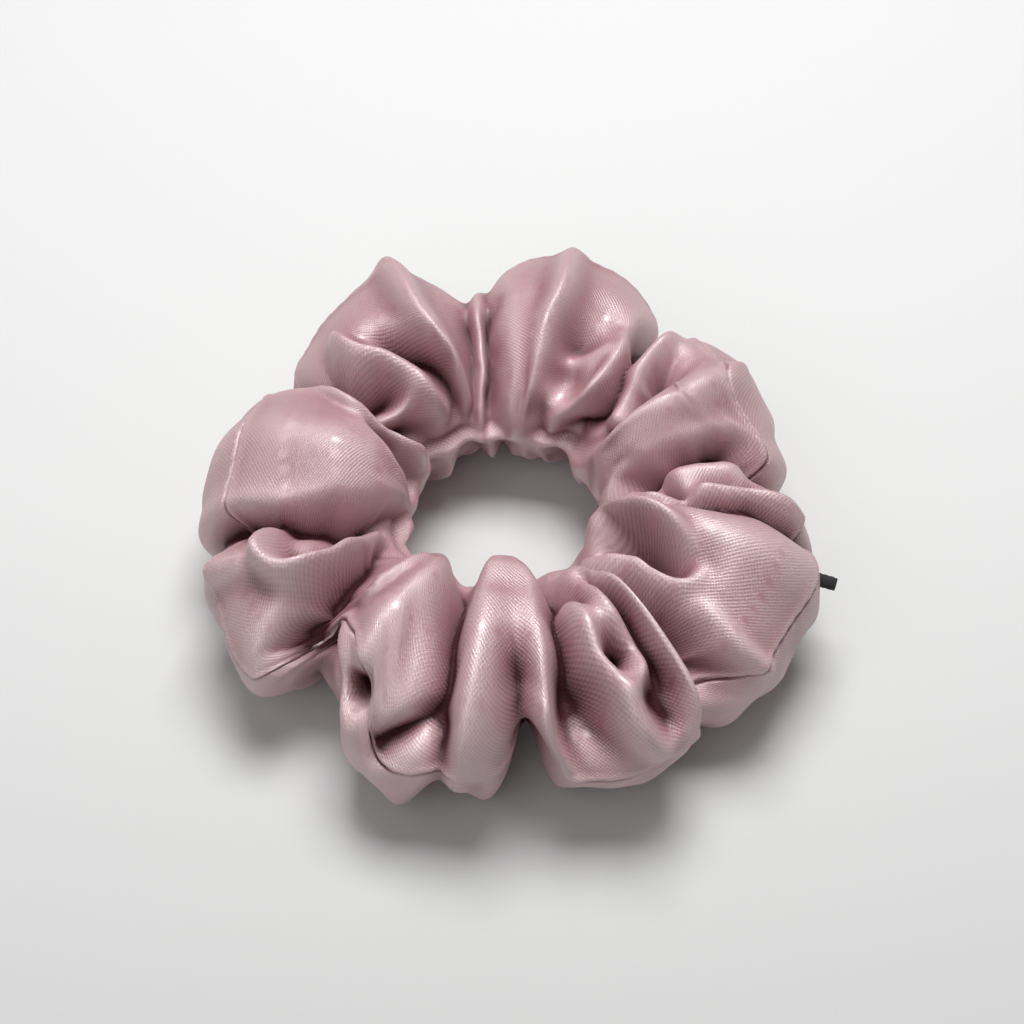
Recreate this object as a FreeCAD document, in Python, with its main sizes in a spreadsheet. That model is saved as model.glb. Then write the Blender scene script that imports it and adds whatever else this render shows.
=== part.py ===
"""Satin scrunchie: a gathered tube of satin sewn along its outer edge, on a knotted loop of elastic cord.

Row frame: +Z up, +X across the ring's longest width, origin on the floor under the middle of the ring.
All lengths are in millimetres and all angles in degrees, counter-clockwise from +X seen from above.
The ring is cut in two at X = 0, so that its right half can slide away from its left half as the
elastic stretches.
"""

import FreeCAD, Part
import math
import os

VECTOR = FreeCAD.Vector
UP = VECTOR(0, 0, 1)

DIMENSIONS = {
    # the gathered satin tube
    "ring_radius": 34.0,  # middle of the tube, from the middle of the ring
    "tube_radius": 15.0,  # of the tube in the gathers between two puffs
    "hole_radius": 15.6,  # from the middle of the ring to a puff's inner end
    "puff_height": 36.0,
    "rest_depth": 1.0,  # how far a puff is pressed flat where it lies on the floor
    "satin_thickness": 0.4,
    # the long seam round the outer edge
    "seam_level": 17.5,  # above the floor
    "allowance_radius": 46.0,  # inner edge of the turned-in seam allowance
    "thread_diameter": 0.3,
    "thread_clearance": 0.02,  # between a thread and the satin it runs along
    "stitch_length": 2.1,
    "stitch_pitch": 2.8,
    "stitch_inset": 1.3,  # from the outside of the satin to the line of stitches
    # the opening left for the elastic, sewn shut by hand
    "opening_angle": -15.0,
    "opening_half_angle": 12.0,
    "closing_pitch": 3.2,
    # the seam that joins the two ends of the tube
    "cross_seam_angle": 10.0,
    # the elastic cord
    "loop_radius": 23.0,
    "cord_diameter": 2.4,
    "core_diameter": 1.5,
    "core_clearance": 0.02,
    "knot_radius": 4.0,  # to the middle of the cord, which the knot pulls thinner
    "knot_rise": 1.8,
    "knot_cord_diameter": 1.8,
    "tail_reach": 58.7,  # how far the long tail comes out, from the middle of the ring
    "tail_clearance": 0.2,
    "tail_hole_margin": 3.0,  # how far the tail's way out runs past the satin at each end
    "short_tail_length": 9.0,
    "short_tail_aside": 8.0,  # degrees round the ring from the long tail
    "short_tail_lean": 40.0,
    # the cut at X = 0 where the stretch joint divides the ring
    "half_gap": 0.15,
}

# The puffs of the gathered tube: the angle they stand at, how far out they reach, and half their width.
PUFFS = {
    "a": (118.0, 56.5, 15.5),
    "b": (77.0, 56.5, 15.5),
    "c": (50.0, 54.5, 7.5),
    "d": (30.0, 54.5, 11.0),
    "e": (10.0, 52.5, 8.0),
    "f": (-20.0, 57.0, 20.0),
    "g": (-71.0, 57.0, 13.5),
    "h": (-109.0, 57.0, 16.0),
    "i": (-149.0, 54.0, 14.0),
    "j": (170.0, 57.0, 17.5),
    "k": (142.0, 51.0, 8.0),
}

FAR = 90.0  # past every side of the ring
SMALL_TURN = 0.1  # the step over which the outline's slope is measured
NOTCH_RELIEF = 1.6  # how many times its own sag a stitch is drawn in, where the outline bends inwards
KNOT_POINTS = 48
KNOT_END_GAP = 0.15  # between the two ends of the knot's cord, as a share of the step between its points


def value(name):
    """The number in a cell of the sheet of dimensions."""
    return float(getattr(sheet, name))


def fill_sheet():
    """Writes the driving dimensions into the document's sheet, each under its own alias."""
    rows = dict(DIMENSIONS)
    for letter, (angle, reach, half_width) in PUFFS.items():
        rows[f"puff_{letter}_angle"] = angle
        rows[f"puff_{letter}_reach"] = reach
        rows[f"puff_{letter}_half_width"] = half_width
    for row, (name, number) in enumerate(rows.items(), start=1):
        sheet.set(f"A{row}", name)
        sheet.set(f"B{row}", str(number))
        sheet.setAlias(f"B{row}", name)
    doc.recompute()


def add(kind, name, sizes=None, placement=None, **links):
    """A document object whose sizes are expressions over the sheet's cells, written without its name."""
    made = doc.addObject(kind, name)
    made.Label = name
    for prop, expression in (sizes or {}).items():
        for cell in sorted(cells, key=len, reverse=True):
            expression = expression.replace(f"<{cell}>", f"Dimensions.{cell}")
        made.setExpression(prop, expression)
    for prop, target in links.items():
        setattr(made, prop, target)
    if placement is not None:
        made.Placement = placement
    return made


def turned(angle, radius=0.0, height=0.0):
    """A placement at that angle and radius round the ring, with its X axis pointing outwards."""
    turn = FreeCAD.Rotation(UP, angle)
    return FreeCAD.Placement(turn.multVec(VECTOR(radius, 0, 0)) + UP * height, turn)


def tube_form(name, inset):
    """The closed outer form of the gathered tube, drawn in by an inset: a ring with a puff at each angle."""
    middle = FreeCAD.Placement(UP * value("seam_level"), FreeCAD.Rotation())
    ring = add(
        "Part::Torus",
        f"{name}_ring",
        {"Radius1": "<ring_radius>", "Radius2": f"<tube_radius> - {inset}"},
        middle,
    )
    puffs = []
    for letter in PUFFS:
        reach, angle = value(f"puff_{letter}_reach"), value(f"puff_{letter}_angle")
        radius = (reach + value("hole_radius")) / 2
        puffs.append(
            add(
                "Part::Ellipsoid",
                f"{name}_puff_{letter}",
                {
                    "Radius1": f"(<puff_height> + <rest_depth>) / 2 - {inset}",
                    "Radius2": f"(<puff_{letter}_reach> - <hole_radius>) / 2 - {inset}",
                    "Radius3": f"<puff_{letter}_half_width> - {inset}",
                },
                turned(angle, radius, value("seam_level")),
            )
        )
    return add("Part::MultiFuse", name, Shapes=[ring, *puffs])


def half_space(name, side, start, floor):
    """A block that holds one side of the ring: X beyond start on that side, Z above floor."""
    block = add(
        "Part::Box",
        name,
        {"Height": "2 * <puff_height>"},
        FreeCAD.Placement(
            VECTOR(start if side > 0 else start - FAR, -FAR, floor), FreeCAD.Rotation()
        ),
    )
    block.Length = FAR
    block.Width = 2 * FAR
    return block


def seam_allowance(inner_form):
    """The tube's inside with the turned-in edges of the strip left standing along the outer seam."""
    outside = add(
        "Part::Cylinder",
        "allowance_outside",
        {"Height": "2 * <satin_thickness>"},
        FreeCAD.Placement(
            UP * (value("seam_level") - value("satin_thickness")), FreeCAD.Rotation()
        ),
    )
    outside.Radius = FAR
    inside = add(
        "Part::Cylinder",
        "allowance_inside",
        {"Height": "2 * <satin_thickness>", "Radius": "<allowance_radius>"},
        outside.Placement,
    )
    flange = add("Part::Cut", "allowance", Base=outside, Tool=inside)
    return add("Part::Cut", "hollow", Base=inner_form, Tool=flange)


def tail_hole():
    """The way out that the long elastic tail takes between the stitches of the closed opening."""
    return add(
        "Part::Cylinder",
        "tail_hole",
        {
            "Radius": "<cord_diameter> / 2 + <tail_clearance>",
            "Height": "<tail_reach> - <allowance_radius> + 2 * <tail_hole_margin>",
        },
        radial(value("opening_angle"), value("allowance_radius") - value("tail_hole_margin")),
    )


def radial(angle, radius):
    """A placement whose Z axis points outwards at that angle, from that radius, at the seam's level."""
    outwards = FreeCAD.Rotation(UP, angle).multVec(VECTOR(1, 0, 0))
    return FreeCAD.Placement(
        outwards * radius + UP * value("seam_level"), FreeCAD.Rotation(UP, outwards)
    )


def cover_half(name, side, outer_form, hollow, extra_cuts=()):
    """One half of the satin cover: a gathered shell, open at the cut, flat where it lies on the floor."""
    gap = side * value("half_gap")
    solid = add(
        "Part::Common",
        f"{name}_solid",
        Base=outer_form,
        Tool=half_space(f"{name}_block", side, gap, 0.0),
    )
    void = add(
        "Part::Common",
        f"{name}_void",
        Base=hollow,
        Tool=half_space(f"{name}_void_block", side, -gap, value("satin_thickness")),
    )
    shell = add("Part::Cut", f"{name}_shell", Base=solid, Tool=void)
    for number, cut in enumerate(extra_cuts, start=1):
        shell = add("Part::Cut", f"{name}_cut_{number}", Base=shell, Tool=cut)
    shell.Label = name
    return shell


def outline(angle, inset):
    """How far the seam line lies from the middle of the ring at that angle, drawn in by an inset."""
    best = value("ring_radius") + value("tube_radius") - inset
    for letter in PUFFS:
        reach = value(f"puff_{letter}_reach")
        middle = (reach + value("hole_radius")) / 2
        along = reach - middle - inset
        across = value(f"puff_{letter}_half_width") - inset
        delta = math.radians(angle - value(f"puff_{letter}_angle"))
        a = math.cos(delta) ** 2 / along**2 + math.sin(delta) ** 2 / across**2
        b = -2 * middle * math.cos(delta) / along**2
        c = middle**2 / along**2 - 1
        root = b * b - 4 * a * c
        if math.cos(delta) > 0 and root > 0:
            best = max(best, (-b + math.sqrt(root)) / (2 * a))
    return best


def polar(angle, radius, height):
    """The point at that angle, radius and height."""
    turn = math.radians(angle)
    return VECTOR(radius * math.cos(turn), radius * math.sin(turn), height)


def thread_between(start, end):
    """One straight run of thread."""
    run = end - start
    return Part.makeCylinder(value("thread_diameter") / 2, run.Length, start, run)


def seam_angles():
    """The angles at which the stitches of the long seam start and end, evenly spaced along the seam line."""
    inset, pairs, angle = value("stitch_inset"), [], -180.0
    while angle < 180.0:
        radius = outline(angle, inset)
        slope = (outline(angle + SMALL_TURN, inset) - radius) / math.radians(SMALL_TURN)
        per_length = math.degrees(1 / math.hypot(radius, slope))
        pairs.append((angle, angle + value("stitch_length") * per_length))
        angle += value("stitch_pitch") * per_length
    return pairs


def in_opening(angle):
    """Whether that angle lies in the opening that is sewn shut by hand."""
    return abs(angle - value("opening_angle")) < value("opening_half_angle")


def seam_stitches(side, level):
    """The stitches of one thread of the long lockstitch seam on one side of the ring."""
    inset, stitches = value("stitch_inset"), []
    for first, last in seam_angles():
        middle = (first + last) / 2
        chord = (outline(first, inset) + outline(last, inset)) / 2
        drawn_in = max(0.0, chord - outline(middle, inset)) * NOTCH_RELIEF
        start = polar(first, outline(first, inset) - drawn_in, level)
        end = polar(last, outline(last, inset) - drawn_in, level)
        clear = min(side * start.x, side * end.x) > 2 * value("half_gap")
        if clear and not in_opening(middle):
            stitches.append(thread_between(start, end))
    return Part.makeCompound(stitches)


def closing_stitches():
    """Short hand stitches along both edges of the opening, clear of the tail."""
    inset = value("stitch_inset")
    reach = value("satin_thickness") + value("thread_diameter")
    rungs = []
    step = math.degrees(value("closing_pitch") / outline(value("opening_angle"), inset))
    count = int(value("opening_half_angle") / step)
    places = [number for number in range(-count, count + 1) if number != 0]  # the tail comes out at 0
    for number in places:
        angle = value("opening_angle") + number * step
        radius = outline(angle, inset) - value("thread_diameter")
        for level in (value("seam_level") - reach, value("seam_level") + reach):
            start = polar(angle, radius, level)
            end = polar(angle + step / 2, radius, level)
            rungs.append(thread_between(start, end))
    return Part.makeCompound(rungs)


def cross_seam_stitches():
    """The ring of stitches round the tube that joins its two ends."""
    angle = value("cross_seam_angle")
    letter = min(PUFFS, key=lambda name: abs(value(f"puff_{name}_angle") - angle))
    reach = value(f"puff_{letter}_reach")
    middle = (reach + value("hole_radius")) / 2
    along = reach - middle - value("stitch_inset")
    upwards = (value("puff_height") - value("rest_depth")) / 2 - value("stitch_inset")

    def point(turn):
        radius = middle + along * math.cos(turn)
        return polar(angle, radius, value("seam_level") + upwards * math.sin(turn))

    stitches, turn = [], 0.0
    while turn < 2 * math.pi:
        speed = math.hypot(along * math.sin(turn), upwards * math.cos(turn))
        start, end = point(turn), point(turn + value("stitch_length") / speed)
        above_seam = abs((start.z + end.z) / 2 - value("seam_level"))
        beside_seam = math.cos(turn) > 0 and above_seam < value("stitch_length")
        if not beside_seam:
            stitches.append(thread_between(start, end))
        turn += value("stitch_pitch") / speed
    return Part.makeCompound(stitches)


def elastic_arc(first, last, outer, inner=0.0):
    """A stretch of the elastic loop between two angles, solid or with a bore for its core."""
    radius = value("loop_radius")
    level = value("seam_level")

    def round_bar(bar_radius):
        start = polar(first, radius, level)
        along = FreeCAD.Rotation(UP, first).multVec(VECTOR(0, 1, 0))
        disc = Part.Face(Part.Wire(Part.makeCircle(bar_radius, start, along)))
        return disc.revolve(VECTOR(0, 0, 0), UP, last - first)

    arc = round_bar(outer)
    return arc.cut(round_bar(inner)) if inner else arc


def knot():
    """The overhand knot in the elastic cord: a trefoil of cord, pulled thin, whose two ends meet."""
    scale, rise = value("knot_radius") / 3, value("knot_rise")
    points = []
    for step in range(KNOT_POINTS):
        turn = 2 * math.pi * step / (KNOT_POINTS - 1 + KNOT_END_GAP)
        points.append(
            VECTOR(
                (math.sin(turn) + 2 * math.sin(2 * turn)) * scale,
                (math.cos(turn) - 2 * math.cos(2 * turn)) * scale,
                -math.sin(3 * turn) * rise,
            )
        )
    path = Part.BSplineCurve()
    path.interpolate(points)
    tangent = path.tangent(path.FirstParameter)[0]
    section = Part.makeCircle(value("knot_cord_diameter") / 2, points[0], tangent)
    cord = Part.Wire(path.toShape()).makePipeShell([Part.Wire(section)], True, True)
    place = turned(value("opening_angle"), value("loop_radius"), value("seam_level"))
    return cord.transformed(place.toMatrix())


def tail(aside, start_radius, length, lean):
    """A cut end of the elastic cord, which starts beside the opening's angle and leans away from it."""
    start = polar(value("opening_angle") + aside, start_radius, value("seam_level"))
    direction = polar(value("opening_angle") + lean, 1.0, 0.0)
    return Part.makeCylinder(value("cord_diameter") / 2, length, start, direction)


def feature(name, shape):
    """A sub-part whose shape is set from the sheet's numbers."""
    made = add("Part::Feature", name)
    made.Shape = shape
    return made


def elastic_parts():
    """The elastic loop in its two halves, its knot and its two tails."""
    outer, core = value("cord_diameter") / 2, value("core_diameter") / 2
    bore = core + value("core_clearance")
    cut_angle = math.degrees(math.asin(value("half_gap") / value("loop_radius")))
    lump = knot()
    spread = math.degrees(value("knot_radius") / value("loop_radius"))
    opening = value("opening_angle")
    left = (90 + cut_angle, 270 - cut_angle)
    right = ((-90 + cut_angle, opening - spread), (opening + spread, 90 - cut_angle))
    parts = [
        feature("elastic_sheath_left", elastic_arc(*left, outer, bore)),
        feature("elastic_core_left", elastic_arc(*left, core)),
        feature(
            "elastic_sheath_right",
            Part.makeCompound([largest(elastic_arc(*arc, outer, bore).cut(lump)) for arc in right]),
        ),
        feature(
            "elastic_core_right",
            Part.makeCompound([largest(elastic_arc(*arc, core).cut(lump)) for arc in right]),
        ),
        feature("elastic_knot", lump),
    ]
    start = value("loop_radius") + value("knot_radius") / 2
    long_tail = tail(0.0, start, value("tail_reach") - start, 0.0)
    short_tail = tail(
        value("short_tail_aside"),
        start + value("cord_diameter") / 2,
        value("short_tail_length"),
        value("short_tail_lean"),
    )
    parts.append(feature("elastic_tail_long", largest(long_tail.cut(lump))))
    parts.append(feature("elastic_tail_short", largest(short_tail.cut(lump))))
    return parts


def largest(shape):
    """The largest solid of a shape that a cut has left in pieces."""
    return max(shape.Solids, key=lambda solid: solid.Volume)


def thread_parts():
    """The threads of the long seam above and below the seam allowance, and of the two short seams."""
    lift = value("satin_thickness") + value("thread_diameter") / 2 + value("thread_clearance")
    above, below = value("seam_level") + lift, value("seam_level") - lift
    return [
        feature("needle_thread_left", seam_stitches(-1, above)),
        feature("needle_thread_right", seam_stitches(1, above)),
        feature("bobbin_thread_left", seam_stitches(-1, below)),
        feature("bobbin_thread_right", seam_stitches(1, below)),
        feature("closing_thread", closing_stitches()),
        feature("cross_seam_thread", cross_seam_stitches()),
    ]


def check_document():
    """Stops the build if any object failed to recompute."""
    for made in doc.Objects:
        if {"Invalid", "Error"} & set(made.State):
            raise RuntimeError(f"{made.Label} did not recompute: {made.State}")


def export(parts):
    """Writes each sub-part to its own STEP file, after checking that its shape is sound."""
    os.makedirs("parts", exist_ok=True)
    for part in parts:
        shape = part.Shape
        if shape.isNull() or not shape.isValid() or not shape.Solids:
            raise RuntimeError(f"{part.Label} has no sound shape")
        box = shape.optimalBoundingBox()
        print(
            f"{part.Label}: {len(shape.Solids)} solids, {shape.Volume:.1f} mm3, "
            f"X {box.XMin:.2f} to {box.XMax:.2f}, Y {box.YMin:.2f} to {box.YMax:.2f}, "
            f"Z {box.ZMin:.2f} to {box.ZMax:.2f}"
        )
        shape.exportStep(f"parts/{part.Label}.step")


doc = FreeCAD.newDocument("scrunchie")
sheet = doc.addObject("Spreadsheet::Sheet", "Dimensions")
cells = [*DIMENSIONS, *(f"puff_{p}_{s}" for p in PUFFS for s in ("angle", "reach", "half_width"))]
fill_sheet()
outer_form = tube_form("outer_form", "0")
inner_form = tube_form("inner_form", "<satin_thickness>")
hollow = seam_allowance(inner_form)
cover_parts = [
    cover_half("cover_left", -1, outer_form, hollow),
    cover_half("cover_right", 1, outer_form, hollow, [tail_hole()]),
]
all_parts = cover_parts + thread_parts() + elastic_parts()
doc.recompute()
check_document()
export(all_parts)
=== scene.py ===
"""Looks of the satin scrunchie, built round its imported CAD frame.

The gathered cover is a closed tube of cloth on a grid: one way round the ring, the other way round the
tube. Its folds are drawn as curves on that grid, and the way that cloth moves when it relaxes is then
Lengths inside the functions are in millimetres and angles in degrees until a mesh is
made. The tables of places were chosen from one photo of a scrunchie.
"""

import math

import bpy
import numpy as np
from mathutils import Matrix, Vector


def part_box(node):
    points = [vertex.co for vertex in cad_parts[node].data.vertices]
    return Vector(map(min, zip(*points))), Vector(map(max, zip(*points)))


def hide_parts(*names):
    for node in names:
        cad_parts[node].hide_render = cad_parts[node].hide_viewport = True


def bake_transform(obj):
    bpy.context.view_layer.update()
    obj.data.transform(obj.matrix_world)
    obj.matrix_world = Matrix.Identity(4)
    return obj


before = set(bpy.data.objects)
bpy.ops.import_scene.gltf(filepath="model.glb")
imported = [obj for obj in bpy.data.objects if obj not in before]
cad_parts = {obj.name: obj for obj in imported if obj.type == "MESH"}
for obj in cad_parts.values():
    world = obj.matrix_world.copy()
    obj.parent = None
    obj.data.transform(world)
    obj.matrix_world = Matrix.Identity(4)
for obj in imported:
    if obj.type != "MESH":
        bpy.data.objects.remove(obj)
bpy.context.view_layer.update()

MM = 0.001

# Places and sizes that the frame gives, in millimetres
SHEATH_LOW, SHEATH_HIGH = (np.array(corner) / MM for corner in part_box("elastic_sheath_left"))
CORD = SHEATH_HIGH[2] - SHEATH_LOW[2]  # how thick the elastic is
LOOP_RADIUS = (SHEATH_HIGH[1] - SHEATH_LOW[1] - CORD) / 2
LEVEL = (SHEATH_HIGH[2] + SHEATH_LOW[2]) / 2  # how high the middle of the tube lies
TAIL_LOW, TAIL_HIGH = (np.array(corner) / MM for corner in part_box("elastic_tail_long"))
KNOT_LOW, KNOT_HIGH = (np.array(corner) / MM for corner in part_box("elastic_knot"))
KNOT_MIDDLE = (KNOT_LOW + KNOT_HIGH) / 2
KNOT_ANGLE = math.degrees(math.atan2(KNOT_MIDDLE[1], KNOT_MIDDLE[0]))
CORE_LOW, CORE_HIGH = (np.array(corner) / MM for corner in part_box("elastic_core_left"))
CORE = CORE_HIGH[2] - CORE_LOW[2]

# The gathered tube before its folds
INNER_REACH = 15.8  # from the middle of the ring to the tube's inner side
UNDERSIDE = 17.3  # from the tube's middle down to its underside
SLIM = 0.965  # the tube starts this much slimmer, because its folds and the cloth swell it
ARC = math.radians(1) * 19.0  # millimetres per degree round the tube
CREASE_ROUND = 0.7  # how wide the bottom of a crease is rounded
DEEPEST_CREASE, DEEPEST_AT_HOLE = 16, 4.5  # the most that a crease goes in, on the puffs and at the hole
LEAN = 0.9  # how much of its lean a crease gets
LEAN_REACH = 5.5  # how far from a crease its lean is felt
FOLD_GAIN = 1.25  # how much higher a fold stands than its entry in the table
UNDERSIDE_SHIFT = 26  # degrees that the underside's folds lie further round than those on top
UNDERSIDE_GAIN = 0.5  # how much of its entry in the table a fold rises by on the underside
UNDERSIDE_RADIUS = 34  # ring radius at which widths on the underside are measured
UNDERSIDE_FULL = 40  # degrees below the outer edge at which the underside's folds are at their full height
SEAM_LIFT_REACH = 115  # degrees round the tube from the seam within which rows bend with its lift
HOLE_START, HOLE_SPAN = 125, 45  # degrees round the tube over which the cloth is drawn in to the hole
HOLE_FLATTENED, HOLE_PLEATS, PLEAT_COUNT = 0.55, 0.5, 17  # share of fold height lost, and pleats in the hole

# How far the outline reaches from the middle of the ring: (ring angle, reach)
REACH = [
    (180, 53.5), (172, 53.5), (165, 52), (157, 50.5), (152, 47), (149, 45.5), (145, 48), (138, 50.5),
    (130, 53), (122, 56), (117, 57.5), (112, 56.5), (106, 52), (102, 48.5), (98, 48), (94, 50), (90, 53.5),
    (84, 56), (76, 57.5), (68, 56.5), (60, 53), (55, 49), (51.5, 45.5), (48, 47.5), (42, 52), (37, 53),
    (30, 53), (22, 51.5), (15, 50.5), (8, 50), (3, 48.5), (0, 50), (-5, 53), (-11, 55), (-15, 57),
    (-25, 57.5), (-40, 57), (-46, 56), (-50, 55), (-56, 57), (-65, 58), (-74, 57.5), (-79, 56.5),
    (-82, 54.5), (-85, 50), (-88, 51), (-93, 55), (-102, 57), (-110, 58), (-117, 57), (-120.5, 54),
    (-124, 48.5), (-129, 47.5), (-132, 48), (-135, 52.5), (-138, 55.5), (-142, 56.5), (-150, 55.5),
    (-160, 55), (-168, 54.5), (-175, 54.5),
]

# How far the tops rise above the tube's middle: (ring angle, rise)
TOPS = [
    (118, 17.5), (100, 14.5), (78, 17.5), (48, 14.5), (25, 17), (0, 15), (-28, 17.5), (-50, 14.5),
    (-65, 17), (-80, 16.5), (-96, 17.5), (-104, 15.5), (-120, 17), (-139, 14.5), (-150, 16.5),
    (-162, 15), (178, 17.5), (160, 16.5), (149, 15), (136, 16),
]

# How far the long seam rises from the middle of the outer edge: (ring angle, degrees round the tube)
SEAM_LIFT = [
    (-20, 25), (-33, 22), (-47, 18), (-55, 8), (-65, 0), (-75, -3), (-82, 0), (-90, 0), (-98, 5),
    (-104, 8), (-108, 6), (-112, 10), (-114, 20), (-115.5, 40), (-117, 50), (-121, 54),
    (-127, 57), (-131.5, 58), (-133.5, 50), (-135.5, 34), (-137.5, 18), (-140, 5), (-145, 6),
    (-150, 12), (-158, 20), (-160, 28), (-168, 38),
    (-176, 48), (172, 55), (160, 45), (150, 20), (140, 20), (130, 30), (117, 45), (105, 20), (95, 10),
    (85, 30), (76, 45), (65, 30), (52, 10), (40, 50), (30, 60), (22, 66), (12, 50), (3, 30), (-8, 30),
    (-15, 28),
]

# The gathers are lettered a to m, clockwise seen from above, and a is the one at 118 degrees.
# Creases where the gathers part: depth, width on the side of larger ring angles, width on the other
# side, lean (positive tucks the bottom of the crease under the side of larger ring angles), and points
# (degrees round the tube, ring angle, strength)
CREASES = {
    "a_b": (6.5, 7, 2.6, -0.8, [
        (-170, 108, 0.6), (-90, 97, 0.8), (0, 99, 0.4), (60, 100.5, 0.4), (75, 101, 0.6), (90, 102, 0.9),
        (105, 102.3, 1), (120, 103.5, 1), (135, 106, 1), (150, 108.5, 1), (165, 111, 0.9),
        (188, 114, 0.6)]),
    "b_c": (6.5, 2.6, 4, 0, [
        (-170, 92, 0.6), (-90, 92, 0.8), (0, 93, 0.4), (60, 95.5, 0.4), (90, 96.3, 0.9), (120, 97.5, 1),
        (135, 98.5, 1), (150, 100, 1), (188, 100, 0.7)]),
    "c_d": (8.5, 3.2, 4.5, 1.4, [
        (-170, 60, 0.5), (-70, 54, 0.8), (0, 51, 0.7), (40, 50.5, 0.8), (60, 50, 0.9), (78, 48, 1),
        (100, 44.5, 1), (117, 41, 1), (130, 40.5, 1), (138, 42.5, 1), (148, 47.5, 1), (160, 52, 1),
        (188, 56, 0.7)]),
    "d_e": (6, 5, 3, -1.2, [
        (70, 35, 0.2), (86, 33.5, 0.7), (100, 33, 1), (117, 31, 1), (130, 31, 1), (138, 33, 1),
        (150, 38, 0.9), (170, 44, 0.6)]),
    "e_f": (9.5, 3.4, 7, 2.4, [
        (-160, 12, 0.5), (-60, 3, 0.8), (0, 1, 0.5), (30, 2, 0.7), (45, 3, 0.9), (60, 6, 1), (75, 6, 1),
        (90, 4, 1), (105, 2.5, 1), (120, 0, 1), (135, -1, 1), (145, -3, 1), (155, -9, 1), (168, -15, 0.9),
        (188, -18, 0.5)]),
    "f_g": (5, 2.6, 4.5, -0.5, [
        (-60, -14, 0.8), (0, -12, 0.5), (30, -12.5, 0.8), (46, -13, 0.9), (59, -12.5, 1), (69, -12, 1),
        (84, -13.5, 1), (101, -15.5, 1), (121, -18, 1), (135, -19.5, 1), (150, -22, 1), (165, -26, 0.8),
        (185, -28, 0.6)]),
    "g_h": (10, 9, 3.4, -1.6, [
        (-150, -58, 0.5), (-60, -54, 0.8), (-20, -54, 0.6), (10, -53, 0.8), (27, -52.5, 1), (38, -52, 1),
        (52, -51.5, 1), (66, -51, 1), (80, -50.5, 1), (103, -50, 1), (118, -54, 0.9), (135, -60, 0.7),
        (150, -64, 0.5)]),
    "h_split": (8, 3.6, 3.6, 0.8, [
        (128, -66, 0.4), (118, -63, 0.8), (105, -60.5, 1), (92, -59.5, 1), (82, -59.5, 1),
        (71, -59.5, 1), (58, -59.3, 1), (46, -59, 0.6), (36, -59, 0.2)]),
    "h_tuck": (4.5, 3, 3, 0, [(97, -66.5, 0.4), (104, -67, 1), (113, -67.5, 1), (128, -70, 0.6)]),
    "h_left": (9, 7, 3, -1, [
        (8, -77, 0.3), (31, -78.5, 0.8), (43, -78.5, 1), (54, -78, 1), (65, -77.3, 1), (76, -76, 1),
        (88, -75.3, 1), (98, -75.3, 1), (108, -74.3, 1), (119, -73, 1), (135, -74, 0.8), (155, -76, 0.6)]),
    "h_i": (16, 6, 6, 0, [
        (-170, -82, 0.3), (-90, -85, 0.5), (-20, -85, 0.9), (0, -85, 1), (12, -85, 0.8),
        (22, -85, 0.4), (32, -85.5, 0.15)]),
    "i_j": (8, 3.6, 4.5, 1.2, [
        (-170, -112, 0.6), (-60, -103, 0.8), (0, -102, 0.3), (29, -102.2, 0.8), (40, -102.5, 1),
        (51, -103, 1), (63, -103.2, 1), (75, -103.8, 1), (89, -105, 1), (103, -105.7, 1),
        (120, -106.5, 1), (140, -109, 1), (172, -113, 0.7)]),
    "j_corner": (6, 6, 2.6, -1.2, [
        (60, -104, 0.3), (51, -104.5, 0.8), (43, -106, 1), (34, -108.7, 1), (26, -111.5, 0.9),
        (16, -114, 0.7), (5, -116, 0.2)]),
    "j_k": (10, 7.5, 5, -1, [
        (-170, -146, 0.6), (-60, -137, 0.8), (10, -134, 0.6), (25, -135, 0.9), (38, -136.3, 1),
        (49, -137, 1), (62, -137.3, 1), (71, -136.7, 1), (80, -137.5, 1), (89, -139.5, 1),
        (97, -140.5, 1), (106, -141.3, 1), (117, -142.7, 1), (127, -144.5, 1), (140, -147.5, 1),
        (155, -149, 0.9), (178, -151, 0.6)]),
    "k_l": (10, 7, 3.4, -2.2, [
        (-170, -160, 0.5), (-60, -170, 0.8), (0, -170, 0.5), (40, -168, 1), (60, -165, 1),
        (75, -162.5, 1), (90, -161, 1), (105, -160.5, 1), (120, -159.5, 1), (135, -160, 1),
        (150, -162, 1), (165, -165, 0.9), (188, -168, 0.5)]),
    "l_m": (6.5, 3, 6, 1.3, [
        (108, 154, 0.2), (120, 157, 0.7), (130, 158, 1), (140, 160, 1), (150, 162, 1), (165, 164, 1),
        (188, 168, 0.6)]),
    "m_a": (9, 3, 7, 1.6, [
        (-170, 140, 0.5), (-60, 150, 0.8), (0, 150, 0.4), (60, 150, 0.5), (75, 148.3, 0.7),
        (93, 148.5, 0.9), (105, 149.5, 1), (120, 150, 1), (135, 147, 1), (150, 140, 1),
        (165, 138, 0.9), (188, 137, 0.5)]),
    "a_inside": (9, 8, 3, -1.8, [
        (82, 131, 0.2), (92, 129, 0.7), (104, 126, 1), (117, 121.5, 1), (128, 119.5, 1), (138, 118.5, 1),
        (150, 119, 1), (165, 119.5, 0.8), (183, 121, 0.5)]),
    "b_inner": (5, 3, 4, 0.8, [(142, 71, 0.2), (152, 70, 0.8), (165, 69, 1), (188, 67, 0.8)]),
}

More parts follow.
